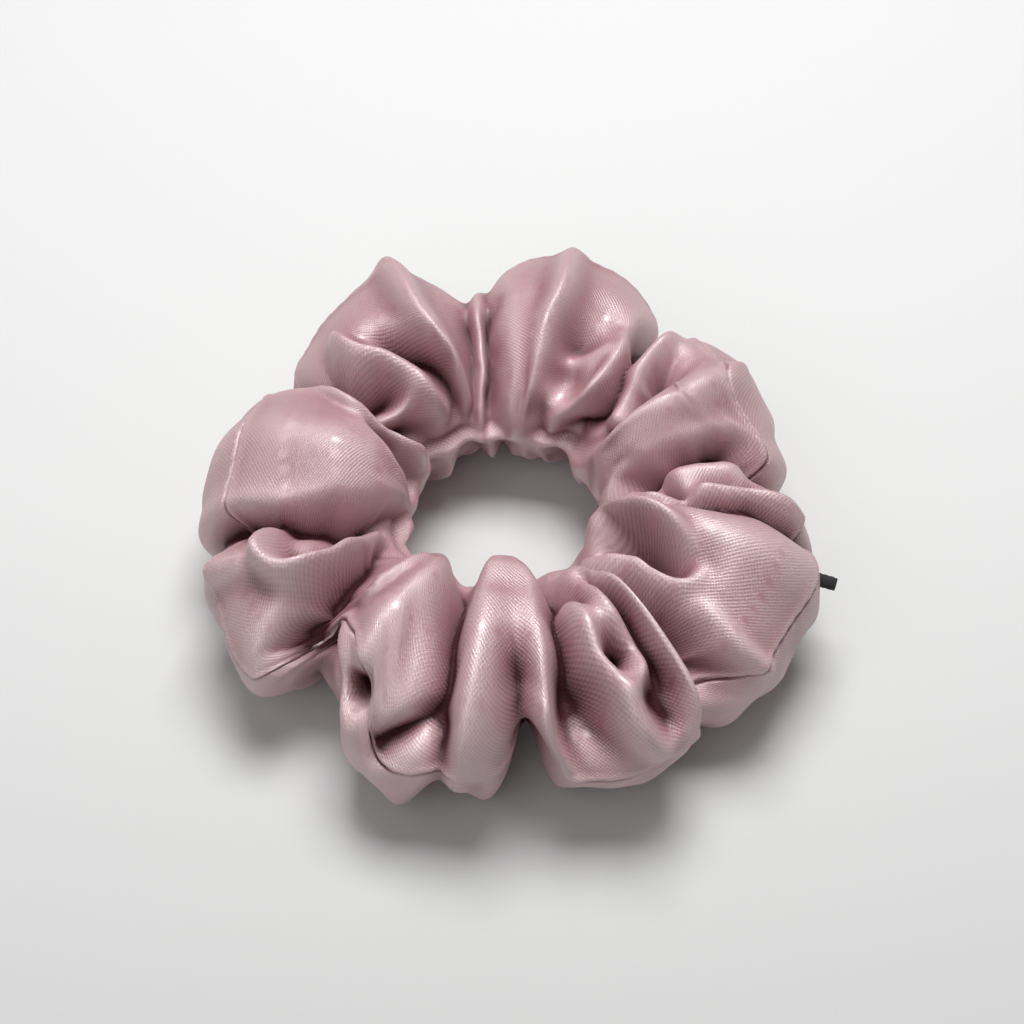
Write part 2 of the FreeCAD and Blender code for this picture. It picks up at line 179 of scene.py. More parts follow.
# Softer folds: height (negative for a hollow), width, and points as above
FOLDS = [
    # in the gather at 118 degrees: its long ridge from the tip, two ridges under it, and a hollow
    (3.8, 3.4, [(40, 115, 0.7), (60, 115, 0.9), (90, 117.5, 1), (105, 116.5, 1), (120, 115, 1),
                (135, 115, 1), (150, 116, 1), (172, 117, 0.5)]),
    (5, 3, [(67, 139, 0.6), (75, 141, 1), (90, 140.5, 1), (102, 136, 1), (112, 133.5, 1), (125, 130.5, 1),
            (138, 129, 1), (152, 126, 0.8), (168, 126, 0.4)]),
    (3.4, 2.3, [(116, 148, 0.6), (123, 145.5, 1), (128, 142, 1), (126, 138, 0.6)]),
    (-5, 3, [(98, 147, 0.5), (109, 144, 1), (119, 141, 1)]),
    # the strip at 100 degrees
    (1.6, 2.2, [(70, 98.5, 0.3), (90, 99.3, 1), (120, 101, 1), (150, 105, 1), (182, 107.5, 0.6)]),
    # in the gather at 77 degrees
    (4, 3.2, [(42, 76, 0.4), (60, 76, 0.6), (90, 74, 1), (105, 75, 1), (120, 75, 1), (135, 75, 1),
              (150, 73, 1), (170, 71, 0.5)]),
    (-5, 6, [(86, 62, 0.4), (104, 64, 1), (118, 66, 1), (136, 66, 0.8), (150, 65, 0.3)]),
    (4, 2.8, [(84, 52, 0.4), (93, 48, 0.9), (107, 46, 1), (120, 46, 1), (135, 48.5, 1), (150, 54, 0.9),
              (168, 58, 0.5)]),
    (2.5, 3, [(100, 55, 0.7), (112, 61, 1), (122, 68, 0.6)]),
    # between the gathers at 77 and 25 degrees
    (3.6, 2.6, [(58, 46, 0.5), (75, 44, 1), (95, 42, 0.9), (110, 38.7, 0.9), (122, 37.3, 1),
                (137, 36.5, 0.6)]),
    (-4.5, 2.6, [(74, 40, 0.5), (86, 38, 1), (98, 36, 1), (110, 34.5, 1), (122, 33.5, 0.8)]),
    # in the gather at 25 degrees
    (3, 5, [(40, 26, 0.2), (58, 25.5, 0.6), (78, 23, 1), (94, 21, 1), (116, 20.5, 1), (132, 21, 1),
            (152, 24, 0.7)]),
    (1.4, 1.6, [(44, 28.5, 0.6), (52, 27.5, 1), (60, 27, 0.5)]),
    # between the gathers at 25 and -28 degrees
    (3, 2.6, [(60, 2, 0.4), (80, 0, 0.8), (95, -0.5, 1), (110, -2, 1), (125, -4, 1), (140, -9, 1),
              (152, -14, 0.6)]),
    (-7, 2.8, [(131, -7, 0.5), (124, -8.5, 1), (115, -9.8, 1), (104, -12, 0.6)]),
    (-3, 4, [(96, -6, 0.5), (80, -5, 1), (62, -4, 0.7)]),
    (3.2, 2, [(132, -17.5, 0.5), (121, -15.8, 1), (108, -14, 1), (94, -12, 1), (80, -10.7, 1),
              (66, -9.5, 1), (52, -9, 1), (36, -9, 0.6)]),
    # in the gather at -28 degrees: its broad top, an arch over a hollow, and the folds beside them
    (2.6, 7, [(135, -26, 0.5), (110, -25, 1), (90, -26, 1), (60, -24, 1), (32, -21, 0.6)]),
    (4.4, 2.5, [(150, -42, 0.5), (143, -37, 1), (135, -32, 1), (124, -29, 1), (112, -29, 1),
                (101, -31.5, 1), (91, -35, 0.6)]),
    (-9, 3.4, [(130, -42, 0.5), (120, -38.7, 1), (110, -37.3, 1), (100, -38, 1), (91, -38.5, 0.7)]),
    (5.4, 2.6, [(138, -53, 0.6), (122, -46.5, 1), (114, -43.7, 1), (104, -42.7, 1), (95, -43, 1),
                (87, -42, 0.9), (83, -39, 0.5)]),
    (-5, 5, [(84, -48, 0.4), (60, -48, 1), (45, -48, 1), (30, -48, 1), (12, -48, 0.5)]),
    (2.6, 2.6, [(78, -44.5, 0.5), (67, -43.5, 1), (52, -43, 1), (33, -42, 1), (16, -39.5, 0.6)]),
    # in the gather at -65 degrees: two long ridges, a loop round a deep dimple, and hollows below
    (5, 3.2, [(130, -64, 0.5), (115, -57, 1), (108, -55.2, 1), (90, -55, 1), (72, -54.8, 1),
              (57, -54.8, 1), (42, -55, 1), (28, -55, 0.8), (12, -55, 0.5)]),
    (3.8, 2.3, [(122, -66, 0.5), (108, -63.5, 1), (92, -62.3, 1), (80, -62, 1), (69, -61.8, 1),
                (60, -62.2, 1), (55, -65, 0.8)]),
    (-11, 3, [(76, -65.5, 0.5), (71, -65.5, 1), (66, -65.5, 0.5)]),
    (4.6, 3.4, [(116, -74, 0.3), (100, -72, 0.8), (85, -70.6, 1), (74, -70.2, 1), (63, -69.2, 1),
                (48, -68, 1), (32, -66.7, 1), (14, -64, 0.6)]),
    (-3.5, 2.8, [(52, -62.5, 0.5), (42, -62.5, 1), (27, -61, 0.8)]),
    (-4, 4, [(70, -73, 0.3), (54, -74.5, 1), (37, -74, 1), (20, -72.5, 0.8), (6, -72, 0.3)]),
    # the strip at -82 degrees and its nub, the groove beside it, and a broad rise behind them
    (3.2, 3.8, [(124, -82, 0.2), (100, -82, 0.4), (66, -82, 0.8), (30, -81, 1), (10, -80, 0.6)]),
    (3.0, 2.4, [(46, -83.5, 0.6), (36, -84.4, 1), (29, -84.6, 0.7)]),
    (-2, 3.2, [(44, -87, 0.5), (56, -87.5, 1), (68, -88, 1), (80, -88.5, 0.5)]),
    (2.6, 10, [(110, -92, 0.3), (126, -92, 1), (150, -91, 1), (168, -91, 0.4)]),
    # in the gather at -97 degrees
    (3.2, 6, [(118, -97, 0.2), (93, -96, 0.6), (64, -96.5, 1), (35, -97, 1), (12, -97, 0.5)]),
    # in the gather at -120 degrees
    (2.6, 5.5, [(128, -112, 0.4), (119, -114, 0.8), (103, -117, 1), (86, -119.5, 1), (73, -120, 1),
                (60, -120, 0.9)]),
    (-9, 2.4, [(48, -117.6, 0.7), (42, -118.6, 1), (35, -120, 0.7)]),
    (-2.6, 3, [(50, -134, 0.4), (38, -131.5, 1), (24, -127.5, 1), (12, -124, 0.6)]),
    (1.8, 3.4, [(56, -132, 0.5), (44, -127, 1), (31, -123.5, 1), (22, -121.5, 0.7)]),
    (2.8, 2.3, [(122, -125.5, 0.5), (107, -127.5, 1), (92, -129.5, 1), (78, -131, 0.4)]),
    (-2.2, 3, [(118, -130, 0.4), (104, -131.5, 1), (92, -133.5, 0.6)]),
    # in the gather at -150 degrees: a fold like a hook round a hollow
    (5, 2.7, [(76, -164, 0.3), (68, -158, 1), (63, -151.5, 1), (67, -147, 1), (77, -144.5, 1),
              (88, -143.5, 1), (98, -145, 0.8), (111, -146.5, 0.5), (125, -148.5, 0.4), (138, -150.5, 0.4),
              (155, -152, 0.2)]),
    (-5, 3.8, [(75, -151.5, 0.7), (86, -151, 1), (98, -152.5, 1), (112, -153.5, 0.8), (126, -154.5, 0.4)]),
    (3, 3.6, [(20, -162, 0.5), (32, -159.5, 1), (46, -157, 1), (60, -153, 0.6)]),
    # between the gathers at 180 and 118 degrees
    (3.6, 3.0, [(66, 152, 0.1), (75, 151.5, 0.3), (90, 152, 0.7), (106, 152.5, 1), (119, 153, 1),
                (135, 152.5, 1), (152, 150, 1), (170, 146, 0.5)]),
    # the broad top of the gather at 180 degrees
    (2.4, 11, [(50, 172, 0.6), (75, 173, 1), (100, 175, 1), (120, 177, 0.8), (145, 175, 0.5)]),
]

COARSE = (220, 60)  # columns and rows of the cloth while it is relaxed
FINE = (460, 148)  # columns, and even rows, of the finished cloth
CLOTH_SCALE = 10  # the cloth is relaxed at ten times its size, where its collisions are sound
SATIN_THICKNESS = 0.35
ELASTIC_GAP = 0.8  # between the satin's inner side and the elastic


def wrap(angle):
    """The same angle, from -180 up to 180."""
    return (angle + 180) % 360 - 180


def cubic(a, b, c, d, share):
    """The Catmull-Rom curve from b to c, at a share of the way."""
    once, twice, thrice = c - a, 2 * a - 5 * b + 4 * c - d, 3 * b - a - 3 * c + d
    return 0.5 * (2 * b + once * share + twice * share**2 + thrice * share**3)


def smooth_path(points, steps=5):
    """Catmull-Rom points along a list of points."""
    points = np.array(points, float)
    padded = np.vstack([2 * points[0] - points[1], points, 2 * points[-1] - points[-2]])
    path = []
    for a, b, c, d in zip(padded, padded[1:], padded[2:], padded[3:]):
        path += [cubic(a, b, c, d, share) for share in np.arange(steps) / steps]
    return np.array([*path, points[-1]])


def around_ring(points, angle):
    """A smooth closed function of the ring angle, from points (ring angle, value)."""
    ordered = np.array(sorted(points), float)
    turn = np.array([360, 0])
    path = smooth_path(np.vstack([ordered[-3:] - turn, ordered, ordered[:3] + turn]))
    return np.interp(angle, path[:, 0], path[:, 1])


def ring_grid(columns, rows):
    """Ring angle and angle round the tube at each point of the cloth. Row angle 0 is the long seam."""
    ring = np.arange(columns) / columns * 360 - 180
    ring, row = np.meshgrid(ring, rows, indexing="ij")
    lift = around_ring(SEAM_LIFT, ring)
    turn = row + lift * (1 - np.clip(np.abs(row) / SEAM_LIFT_REACH, 0, 1) ** 2) ** 2
    return ring, turn


def nearest(points, ring, turn, across):
    """Distance in millimetres to a curve drawn on the tube, the curve's strength there, and its side."""
    best, strength, side = np.full(ring.shape, np.inf), np.zeros(ring.shape), np.zeros(ring.shape)
    path = smooth_path(sorted(points) if points[0][0] > points[-1][0] else points)
    for p, q in zip(path[:-1], path[1:]):
        x, y = wrap(ring - p[1]) * across, (turn - p[0]) * ARC
        dx, dy = wrap(q[1] - p[1]) * across, (q[0] - p[0]) * ARC
        along = np.clip((x * dx + y * dy) / (dx * dx + dy * dy + 1e-9), 0, 1)
        distance = np.hypot(x - along * dx, y - along * dy)
        closer = distance < best
        best[closer] = distance[closer]
        strength[closer] = (p[2] + (q[2] - p[2]) * along)[closer]
        side[closer] = (dy * x - dx * y)[closer]
    return best, strength, side > 0


def fold_heights(ring, turn, across):
    """Height of the folds, depth of the creases and sideways lean of the creases, over the cloth."""
    height, crease, lean = (np.zeros(ring.shape) for _ in range(3))
    for depth, wider, narrower, tuck, points in CREASES.values():
        for shift in (0, 360):
            distance, strength, larger = nearest(points, ring, turn - shift, across)
            width = np.where(larger, wider, narrower)
            rounded = np.hypot(distance, CREASE_ROUND) - CREASE_ROUND
            part = np.clip(rounded / width, 0, 1)
            bend = 0.5 * (1 - part) ** 2 + 0.5 * (1 - np.sqrt(1 - (1 - part) ** 2))
            crease = np.hypot(crease, depth * strength * bend)
            lean += LEAN * tuck * strength * np.clip(1 - distance / LEAN_REACH, 0, 1) ** 1.5
    for rise, width, points in FOLDS:
        distance, strength, _ = nearest(points, ring, turn, across)
        height += FOLD_GAIN * rise * strength * np.exp(-1.9 * (distance / width) ** 2)
    return height, crease, lean


def underside(ring, turn):
    """Folds of the underside: the top's own folds further round and softer, and pleats beside the seam."""
    hidden = np.where(turn < 0, -turn, -400)
    across = np.full(ring.shape, math.radians(1) * UNDERSIDE_RADIUS)
    height = np.zeros(ring.shape)
    for rise, width, points in FOLDS:
        distance, strength, _ = nearest(points, ring + UNDERSIDE_SHIFT, hidden, across)
        height += UNDERSIDE_GAIN * rise * strength * np.exp(-1.4 * (distance / width) ** 2)
    height *= np.clip(-turn / UNDERSIDE_FULL, 0, 1)
    at, low = np.radians(ring), np.where(turn > 180, turn - 360, turn)
    pleats = 0.9 * np.cos(26 * at + 2.5 * np.sin(3 * at) + low / 18) * np.exp(-(((low + 25) / 42) ** 2))
    pleats += 0.7 * np.cos(41 * at - 1.5 * np.sin(5 * at) - low / 14) * np.exp(-(((low + 50) / 40) ** 2))
    return height + pleats * np.where(ring > 0, 1, 0.6)


def gathered_form(columns, rows):
    """The tube with its folds, before the cloth is relaxed, and the depth of its creases."""
    ring, turn = ring_grid(columns, rows)
    reach, rise = around_ring(REACH, ring), around_ring(TOPS, ring)
    even = sum(around_ring(REACH, wrap(ring + step)) for step in (-14, -7, 0, 7, 14)) / 5
    cos, sin = np.cos(np.radians(turn)), np.sin(np.radians(turn))
    middle = (even + INNER_REACH) / 2
    wide = np.where(cos > 0, reach - middle, middle - INNER_REACH) * SLIM
    radius = middle + wide * cos
    high = np.where(sin > 0, rise, UNDERSIDE) * SLIM
    level = LEVEL + high * np.sign(sin) * np.abs(sin) ** np.where(cos > 0, 1.08, 1)
    folded = np.where(turn > 190, turn - 360, turn)
    across = math.radians(1) * np.maximum(radius, INNER_REACH)
    height, crease, lean = fold_heights(ring, folded, across)
    height = height + underside(ring, folded) - 0.6 * height * np.clip((30 - folded) / 30, 0, 1)
    towards_hole = np.clip((np.abs(folded) - HOLE_START) / HOLE_SPAN, 0, 1)
    height *= 1 - HOLE_FLATTENED * towards_hole
    crease = np.minimum(crease, DEEPEST_CREASE - (DEEPEST_CREASE - DEEPEST_AT_HOLE) * towards_hole)
    phase = PLEAT_COUNT * ring + 40 * np.sin(np.radians(3 * ring))
    pleats = HOLE_PLEATS * towards_hole * np.cos(np.radians(phase))
    out, up = cos / wide, sin / high
    size = np.hypot(out, up)
    push = height - crease + pleats
    radius, level = radius + out / size * push, level + up / size * push
    angle = np.radians(ring) + lean / np.maximum(radius, 12)
    form = np.stack([radius * np.cos(angle), radius * np.sin(angle), level], axis=-1)
    return form, crease


def mesh_piece(name, points, faces):
    """A mesh object with smooth shading."""
    mesh = bpy.data.meshes.new(name)
    mesh.from_pydata(points, [], faces)
    mesh.polygons.foreach_set("use_smooth", np.ones(len(mesh.polygons), bool))
    mesh.update()
    piece = bpy.data.objects.new(name, mesh)
    bpy.context.scene.collection.objects.link(piece)
    return piece


def grid_mesh(name, points):
    """A mesh object over a grid of points that closes on itself both ways."""
    columns, rows = points.shape[:2]
    index = np.arange(columns * rows).reshape(columns, rows)
    beyond = np.roll(index, -1, axis=0)
    quads = np.stack([index, beyond, np.roll(beyond, -1, axis=1), np.roll(index, -1, axis=1)], axis=-1)
    return mesh_piece(name, points.reshape(-1, 3).tolist(), quads.reshape(-1, 4).tolist())


def read_points(mesh):
    """The mesh's points as an array."""
    flat = np.empty(3 * len(mesh.vertices))
    mesh.vertices.foreach_get("co", flat)
    return flat.reshape(-1, 3)


GROWTH, STIFFNESS, FRAMES, PRESSURE = 0.008, 18.0, 7, 0.2
FULLY_HELD = 168  # degrees round the tube beyond which the cloth stays where it is, at the hole
HOLD_STEPS = 20  # how many strengths of hold there are
HELD_CREASE, MOST_HOLD = 9, 0.8  # a crease this deep is held this firmly


def relaxed(form, crease, rows):
    """The form after it has moved as cloth: held at the hole and in its creases, and slightly too large."""
    scale = CLOTH_SCALE * MM
    piece = grid_mesh("cloth_form", form * scale)
    hold = np.clip(crease / HELD_CREASE, 0, 1) ** 1.5 * MOST_HOLD
    hold[:, np.abs(wrap(rows)) >= FULLY_HELD] = 1
    group = piece.vertex_groups.new(name="held")
    steps = np.round(hold.ravel() * HOLD_STEPS)
    for step in range(1, HOLD_STEPS + 1):
        chosen = np.nonzero(steps == step)[0].tolist()
        if chosen:
            group.add(chosen, step / HOLD_STEPS, "REPLACE")
    cloth = piece.modifiers.new("cloth", "CLOTH")
    settings, collision = cloth.settings, cloth.collision_settings
    settings.quality = 6
    settings.mass = 0.3
    settings.tension_stiffness = settings.compression_stiffness = 15
    settings.shear_stiffness = 6
    settings.bending_stiffness = STIFFNESS
    settings.vertex_group_mass = "held"
    settings.shrink_min = settings.shrink_max = -GROWTH
    settings.use_pressure = True
    settings.uniform_pressure_force = PRESSURE
    settings.effector_weights.gravity = 0
    collision.use_self_collision = True
    collision.self_distance_min = 0.005
    collision.distance_min = 0.003
    cloth.point_cache.frame_start = 1
    cloth.point_cache.frame_end = FRAMES
    for moment in range(1, FRAMES + 1):
        bpy.context.scene.frame_set(moment)
    shape = piece.evaluated_get(bpy.context.evaluated_depsgraph_get()).to_mesh()
    points = read_points(shape).reshape(form.shape) / scale
    bpy.data.objects.remove(piece)
    bpy.context.scene.frame_set(1)
    return points


def resampled(values, places, axis):
    """Values at other places along an axis that closes on itself, by a cubic curve through them."""
    values = np.moveaxis(values, axis, 0)
    low = np.floor(places).astype(int)
    share = (places - low).reshape(-1, *([1] * (values.ndim - 1)))
    a, b, c, d = (values[(low + k) % len(values)] for k in (-1, 0, 1, 2))
    return np.moveaxis(cubic(a, b, c, d, share), 0, axis)


def drift(fine):
    """How far each point of the finished cloth moves as the cloth relaxes, worked out on a coarser grid."""
    columns, count = COARSE
    rows = np.arange(count) / count * 360 - 180
    form, crease = gathered_form(columns, rows)
    moved = relaxed(form, crease, rows) - form
    moved = resampled(moved, np.arange(FINE[0]) * columns / FINE[0], 0)
    return resampled(moved, (fine + 180) * count / 360, 1)


def outward(points):
    """The outward direction at each point of a closed grid."""
    along = np.roll(points, -1, axis=0) - np.roll(points, 1, axis=0)
    over = np.roll(points, -1, axis=1) - np.roll(points, 1, axis=1)
    normal = np.cross(along, over)
    return normal / np.linalg.norm(normal, axis=-1, keepdims=True)


def softened(points, rounds):
    """The grid evened out a little, which rounds the bottoms of the creases as thick cloth does."""
    for _ in range(rounds):
        near = sum(np.roll(points, step, axis) for axis in (0, 1) for step in (1, -1)) / 4
        points = 0.5 * points + 0.5 * near
    return points


# The long seam: rows of the cloth on each side of it, in degrees round the tube
SEAM_ROWS = np.array([0.45, 1.0, 1.8, 2.8, 4.2])
SEAM_DEPTH, SEAM_HALF_WIDTH = 0.8, 0.3
SEAM_ROLL, ROLL_AT, ROLL_WIDTH = 0.35, 1.1, 0.9  # the rolled edge's rise, place above the seam and width
PUCKER_COUNT, PUCKER_RISE, PUCKER_WIDTH = 128, 0.12, 1.2  # the ripples that the stitches pull into the edge


def fine_rows(count):
    """Row angles of the finished cloth: even, and closer together beside the long seam."""
    step = (360 - 2 * SEAM_ROWS[-1]) / count
    even = SEAM_ROWS[-1] + step * np.arange(1, count)
    rows = np.concatenate([[0], SEAM_ROWS, even, 360 - SEAM_ROWS[::-1]])
    return wrap(rows)


def sewn(points, rows):
    """The cloth with its long seam pinched in, and the upper edge rolled over it."""
    gap = rows * ARC
    pinch = -SEAM_DEPTH * np.exp(-((gap / SEAM_HALF_WIDTH) ** 2))
    roll = SEAM_ROLL * np.exp(-(((gap - ROLL_AT) / ROLL_WIDTH) ** 2))
    ripple = PUCKER_RISE * np.sin(np.arange(points.shape[0]) / points.shape[0] * 2 * math.pi * PUCKER_COUNT)
    pucker = ripple[:, None] * np.exp(-((gap / PUCKER_WIDTH) ** 2))
    return points + outward(points) * (pinch + roll + pucker)[..., None]


EVEN_FROM, EVEN_SPAN, EVEN_SHARE = 145, 30, 0.5  # degrees round the tube, and share of the evened cloth


def even_at_hole(points, rows):
    """The cloth evened along the ring where it is drawn in at the hole, so that its gathers end softly."""
    evened = points
    for _ in range(2):
        evened = sum(np.roll(evened, step, axis=0) for step in range(-7, 8)) / 15
    share = EVEN_SHARE * np.clip((np.abs(rows) - EVEN_FROM) / EVEN_SPAN, 0, 1)[:, None]
    return points + share * (evened - points)


def clear_of_elastic(points):
    """The cloth kept outside the elastic loop and its knot, which it rests on where it is drawn in."""
    angle = np.arctan2(points[..., 1], points[..., 0])
    level = np.full(angle.shape, LEVEL)
    ring = np.stack([LOOP_RADIUS * np.cos(angle), LOOP_RADIUS * np.sin(angle), level], axis=-1)
    knot_middle = np.broadcast_to(KNOT_MIDDLE, points.shape)
    knot_size = (KNOT_HIGH - KNOT_LOW).max() / 2
    for middle, size in ((ring, CORD / 2), (knot_middle, knot_size)):
        apart = points - middle
        distance = np.linalg.norm(apart, axis=-1, keepdims=True)
        room = size + SATIN_THICKNESS + ELASTIC_GAP
        points = np.where(distance < room, middle + apart / distance * room, points)
    return points


PRESS_ROUND, PRESS_SUNK, LOWEST = 0.8, 0.15, 0.02  # how the lowest folds turn flat, sink and stop


def settled(points):
    """The cloth laid on the floor: nothing under it, and its lowest folds pressed flat."""
    level = points[..., 2]
    points[..., 2] = 0.5 * (level + np.sqrt(level**2 + PRESS_ROUND**2)) - PRESS_SUNK
    points[..., 2] = np.maximum(points[..., 2], LOWEST)
    return points


def satin_cover():
    """The gathered cover: one closed tube of satin with its seam, and cloth of real thickness."""
    fine = fine_rows(FINE[1])
    form, _ = gathered_form(FINE[0], fine)
    form = form + drift(fine)
    form = even_at_hole(softened(form, 3), fine)
    form = softened(clear_of_elastic(form), 1)
    form = settled(sewn(form, fine))
    piece = grid_mesh("satin_cover", form * MM)
    add_weave_coordinates(piece, form, hollow_depth(form))
    thick = piece.modifiers.new("thickness", "SOLIDIFY")
    thick.thickness = SATIN_THICKNESS * MM
    thick.offset = -1
    apply_modifiers(piece)
    piece.data.materials.append(satin_material())
    return piece, form


def hollow_depth(points):
    """How far each point lies below the evened-out cloth round it, which is where little light comes."""
    depth = np.zeros(points.shape[:2])
    for rounds in (12, 48):
        depth += ((softened(points, rounds) - points) * outward(points)).sum(axis=-1) / 2
    return depth


def add_weave_coordinates(piece, form, depth):
    """UV maps: 'weave' holds the ring angle and the way round the tube, 'place' radius and depth."""
    columns, rows = form.shape[:2]
    step = np.linalg.norm(np.roll(form, -1, axis=1) - form, axis=-1).mean(axis=0)
    around = np.concatenate([[0], np.cumsum(step)])
    radius = np.hypot(form[..., 0], form[..., 1])
    corners = np.arange(columns * rows)
    column, row = corners // rows, corners % rows
    weave, place = (piece.data.uv_layers.new(name=name) for name in ("weave", "place"))
    weave_values, place_values = np.empty((len(corners), 4, 2)), np.empty((len(corners), 4, 2))
    for corner, (right, up) in enumerate(((0, 0), (1, 0), (1, 1), (0, 1))):
        weave_values[:, corner, 0] = (column + right) / columns
        weave_values[:, corner, 1] = around[row + up]
        at = ((column + right) % columns, (row + up) % rows)
        place_values[:, corner, 0] = radius[at]
        place_values[:, corner, 1] = depth[at]
    weave.data.foreach_set("uv", weave_values.ravel())
    place.data.foreach_set("uv", place_values.ravel())


def apply_modifiers(piece):
    """Puts the piece's modifiers into its mesh."""
    shape = bpy.data.meshes.new_from_object(piece.evaluated_get(bpy.context.evaluated_depsgraph_get()))
    piece.modifiers.clear()
    piece.data = shape


class Nodes:
    """A material under construction: makes nodes and links their sockets."""

    def __init__(self, name):
        self.material = bpy.data.materials.new(name)
        self.material.use_nodes = True
        self.tree = self.material.node_tree
        self.shader = self.tree.nodes["Principled BSDF"]

    def add(self, kind, inputs=None, **settings):
        node = self.tree.nodes.new(kind)
        for key, setting in settings.items():
            setattr(node, key, setting)
        for key, source in (inputs or {}).items():
            self.put(node.inputs[key], source)
        return node

    def put(self, socket, source):
        if isinstance(source, bpy.types.NodeSocket):
            self.tree.links.new(source, socket)
        elif isinstance(source, bpy.types.Node):
            self.tree.links.new(source.outputs[0], socket)
        else:
            socket.default_value = source

    def math(self, operation, *values):
        return self.add("ShaderNodeMath", dict(enumerate(values)), operation=operation)

    def ramp(self, factor, stops):
        node = self.add("ShaderNodeValToRGB", {"Fac": factor})
        while len(node.color_ramp.elements) < len(stops):
            node.color_ramp.elements.new(0.5)
        for element, (position, colour) in zip(node.color_ramp.elements, stops):
            element.position, element.color = position, (*colour, 1)
        return node

    def shade(self, **inputs):
        for key, source in inputs.items():
            self.put(self.shader.inputs[key.replace("_", " ")], source)
        return self.material


WEAVE_PITCH = 0.66  # between floats of one row; the rows are staggered, so neighbours are closer
WEAVE_BANDS = (17, 22, 29, 38, 50)  # ring radii at which the weave is counted, in millimetres
BAND_BLEND = 1.5  # half the width over which one band's weave turns into the next


def band_share(nodes, radius, edge):
    """How far a radius lies past the edge of a band of the weave, from 0 to 1."""
    reach = {"Value": radius, "From Min": edge - BAND_BLEND, "From Max": edge + BAND_BLEND}
    return nodes.add("ShaderNodeMapRange", reach, interpolation_type="SMOOTHSTEP")


def weave_height(nodes):
    """Height of the crepe weave, whose floats keep one pitch at any radius, and depth of the hollow."""
    weave = nodes.add("ShaderNodeUVMap", uv_map="weave")
    place = nodes.add("ShaderNodeUVMap", uv_map="place")
    at, where = (nodes.add("ShaderNodeSeparateXYZ", {0: source}) for source in (weave, place))
    wobble = nodes.add("ShaderNodeTexNoise", {"Scale": 700.0, "Detail": 1.0})
    jitter = nodes.math("MULTIPLY", nodes.math("SUBTRACT", wobble, 0.5), 5.0)
    over = nodes.math("ADD", nodes.math("MULTIPLY", at.outputs["Y"], 2 * math.pi / WEAVE_PITCH), jitter)
    total = None
    for low, high in zip(WEAVE_BANDS, (*WEAVE_BANDS[1:], 2 * WEAVE_BANDS[-1])):
        turns = round(2 * math.pi * low * 1.12 / WEAVE_PITCH)
        along = nodes.math("MULTIPLY", at.outputs["X"], 2 * math.pi * turns)
        sideways = nodes.math("SINE", nodes.math("SUBTRACT", along, jitter))
        floats = nodes.math("MULTIPLY", sideways, nodes.math("SINE", over))
        inside = band_share(nodes, where.outputs["X"], low)
        outside = band_share(nodes, where.outputs["X"], high)
        share = nodes.math("SUBTRACT", inside, outside)
        part = nodes.math("MULTIPLY", floats, share)
        total = part if total is None else nodes.math("ADD", total, part)
    return total, where.outputs["Y"]


def satin_material():
    """Dusty rose crepe satin: shiny on the folds, dull with painted shade in the creases, finely pebbled."""
    nodes = Nodes("satin")
    height, hollow = weave_height(nodes)
    cloud = nodes.add("ShaderNodeTexNoise", {"Scale": 60.0, "Detail": 3.0})
    grain = nodes.math("ADD", nodes.math("MULTIPLY", height, 0.26), nodes.math("MULTIPLY", cloud, 0.1))
    # painted shade: the colour darkens with the depth of the hollow, so the ridges stay paler as a painted
    # highlight
    depth = nodes.add("ShaderNodeMapRange", {"Value": hollow, "From Min": -0.4, "From Max": 1.3})
    sheltered = nodes.add("ShaderNodeMapRange", {"Value": hollow, "From Min": -0.3, "From Max": 1.1})
    open_cloth = nodes.math("SUBTRACT", 1.0, nodes.math("MULTIPLY", sheltered, 0.95))
    # the weave's own grain, less the painted shade of the hollows
    grain_and_painted_shade = nodes.math("SUBTRACT", nodes.math("ADD", grain, 0.8), nodes.math("MULTIPLY", depth, 1.1))
    # colour stops: painted crease shade, shaded, lit, and a pale painted highlight for the ridges
    painted_crease_shade, shaded = (0.045, 0.006, 0.01), (0.22, 0.055, 0.072)
    lit, pale = (0.42, 0.165, 0.195), (0.6, 0.335, 0.37)
    colour = nodes.ramp(grain_and_painted_shade, [(0.0, painted_crease_shade), (0.3, shaded), (0.6, lit), (1.0, pale)])
    rough = nodes.math("SUBTRACT", 0.45, nodes.math("MULTIPLY", height, 0.06))
    bump = nodes.add("ShaderNodeBump", {"Strength": 0.9, "Distance": 0.00004, "Height": height})
    return nodes.shade(
        Base_Color=colour,
        Roughness=rough,
        Normal=bump,
        Specular_IOR_Level=open_cloth,
        IOR=2.4,
        Sheen_Weight=nodes.math("MULTIPLY", open_cloth, 0.2),
        Sheen_Roughness=0.5,
        Sheen_Tint=(1.0, 0.88, 0.9, 1.0),
    )


def thread_material():
    """Twisted polyester thread, a shade deeper than the satin."""
    nodes = Nodes("thread")
    size = {"Scale": 2600.0, "Distortion": 0.4}
    twist = nodes.add("ShaderNodeTexWave", size, bands_direction="DIAGONAL")
    colour = nodes.ramp(twist, [(0.0, (0.3, 0.12, 0.14)), (1.0, (0.5, 0.25, 0.28))])
    bump = nodes.add("ShaderNodeBump", {"Strength": 0.5, "Distance": 0.00005, "Height": twist})
    return nodes.shade(Base_Color=colour, Roughness=0.55, Normal=bump)


def braid_material():
    """Black braided sheath, slightly dusty on its raised yarns."""
    nodes = Nodes("black_braid")
    fuzz = nodes.add("ShaderNodeTexNoise", {"Scale": 2500.0, "Detail": 3.0})
    colour = nodes.ramp(fuzz, [(0.3, (0.004, 0.004, 0.005)), (0.8, (0.03, 0.03, 0.033))])
    bump = nodes.add("ShaderNodeBump", {"Strength": 0.6, "Distance": 0.0001, "Height": fuzz})
    return nodes.shade(Base_Color=colour, Roughness=0.8, Normal=bump, Sheen_Weight=0.15)


